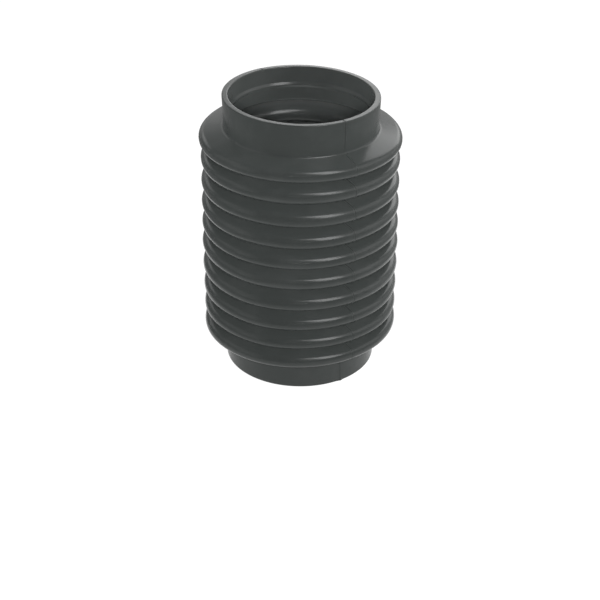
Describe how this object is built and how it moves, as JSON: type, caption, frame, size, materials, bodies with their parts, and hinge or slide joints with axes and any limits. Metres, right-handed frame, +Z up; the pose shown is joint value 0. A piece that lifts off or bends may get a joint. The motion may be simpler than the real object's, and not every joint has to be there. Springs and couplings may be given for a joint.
{
  "type": "rubber bellows boot",
  "caption": "Round moulded rubber bellows boot: a ribbed tube of rounded folds, open at both ends, with a plain clamp neck at each end.",
  "frame": {"origin": "centre of the lower neck's rim, where the boot stands on a flat surface", "axes": "+Z up along the boot's axis, from the lower neck to the upper one"},
  "size_m": [0.102, 0.102, 0.1476],
  "materials": {
    "black_rubber": "moulded satin"
  },
  "bodies": {
    "root": {"bellows_boot": "black_rubber"}
  },
  "joints": []
}
